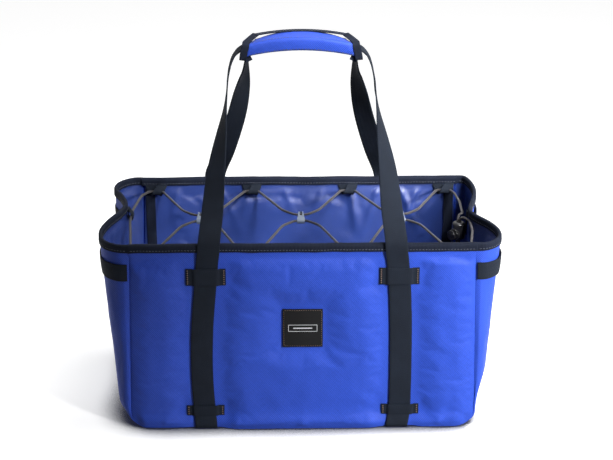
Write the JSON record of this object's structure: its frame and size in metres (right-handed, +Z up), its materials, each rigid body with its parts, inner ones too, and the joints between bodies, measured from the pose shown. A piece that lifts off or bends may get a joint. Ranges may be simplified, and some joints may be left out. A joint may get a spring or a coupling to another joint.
{
  "type": "basket tote bag",
  "caption": "Open-topped fabric basket bag with padded panels, pleated side gussets, elastic cord laced over the mouth and webbing handles joined by a wrap-around padded grip.",
  "frame": {"origin": "on the surface the bag stands on, under the middle of its base", "axes": "+X is the bag's right seen from the front, +Y is its back, +Z is up"},
  "size_m": [0.4667, 0.2484, 0.4463],
  "materials": {
    "outer_fabric": "matt diagonal weave nylon",
    "lining_fabric": "slightly glossy coated lining",
    "foam": "closed-cell foam",
    "stiffener_board": "flat sheet",
    "webbing": "woven nylon webbing",
    "binding_tape": "ribbed grosgrain tape",
    "leather": "fine-grained, semi-matt",
    "elastic_cord": "braided cover over rubber",
    "grey_plastic": "moulded, satin",
    "black_plastic": "moulded, semi-gloss",
    "spring_steel": "drawn wire",
    "hook_and_loop": "hook-and-loop tape"
  },
  "bodies": {
    "bag": {"front_outer": "outer_fabric", "rear_outer": "outer_fabric", "base_outer": "outer_fabric", "left_gusset": "outer_fabric", "right_gusset": "outer_fabric", "front_lining": "lining_fabric", "rear_lining": "lining_fabric", "base_lining": "lining_fabric", "front_foam": "foam", "rear_foam": "foam", "base_board": "stiffener_board", "left_strap": "webbing", "right_strap": "webbing", "left_side_band": "webbing", "right_side_band": "webbing", "left_cord_tab": "webbing", "right_lock_tab": "webbing", "front_left_upper_keeper": "webbing", "front_left_lower_keeper": "webbing", "front_right_upper_keeper": "webbing", "front_right_lower_keeper": "webbing", "rear_left_upper_keeper": "webbing", "rear_left_lower_keeper": "webbing", "rear_right_upper_keeper": "webbing", "rear_right_lower_keeper": "webbing", "front_cord_loop_1": "webbing", "front_cord_loop_2": "webbing", "front_cord_loop_3": "webbing", "front_cord_loop_4": "webbing", "rear_cord_loop_1": "webbing", "rear_cord_loop_2": "webbing", "rear_cord_loop_3": "webbing", "rear_cord_loop_4": "webbing", "front_rim_tape": "binding_tape", "rear_rim_tape": "binding_tape", "left_rim_tape": "binding_tape", "right_rim_tape": "binding_tape", "front_left_seam_tape": "binding_tape", "front_right_seam_tape": "binding_tape", "rear_left_seam_tape": "binding_tape", "rear_right_seam_tape": "binding_tape", "leather_patch": "leather", "elastic_cord": "elastic_cord", "cord_knot": "elastic_cord", "cord_hook_1": "grey_plastic", "cord_hook_2": "grey_plastic", "cord_hook_3": "grey_plastic", "lock_housing": "black_plastic", "lock_spring": "spring_steel"},
    "front_handle": {"front_handle_strap": "webbing"},
    "rear_handle": {"rear_handle_strap": "webbing", "grip_wrap": "outer_fabric", "grip_hook_strip": "hook_and_loop"},
    "grip_flap": {"grip_flap": "outer_fabric", "grip_binding": "binding_tape", "grip_loop_strip": "hook_and_loop"},
    "lock_button": {"lock_button": "black_plastic"}
  },
  "joints": [
    {"name": "front_handle_fold", "type": "hinge", "parent": "bag", "child": "front_handle", "pos_m": [0, -0.1221, 0.207], "axis": [1, 0, 0], "range_deg": [0, 150]},
    {"name": "rear_handle_fold", "type": "hinge", "parent": "bag", "child": "rear_handle", "pos_m": [0, 0.1221, 0.207], "axis": [-1, 0, 0], "range_deg": [0, 150]},
    {"name": "grip_flap_open", "type": "hinge", "parent": "rear_handle", "child": "grip_flap", "pos_m": [0, -0.0175, 0.4191], "axis": [1, 0, 0], "range_deg": [0, 110]},
    {"name": "lock_button_press", "type": "slide", "parent": "bag", "child": "lock_button", "axis": [0.7314, 0.682, 0], "range_m": [0, 0.0022], "stiffness_N_per_m": 500, "springref_m": -0.002, "deforming": ["lock_spring"]}
  ]
}
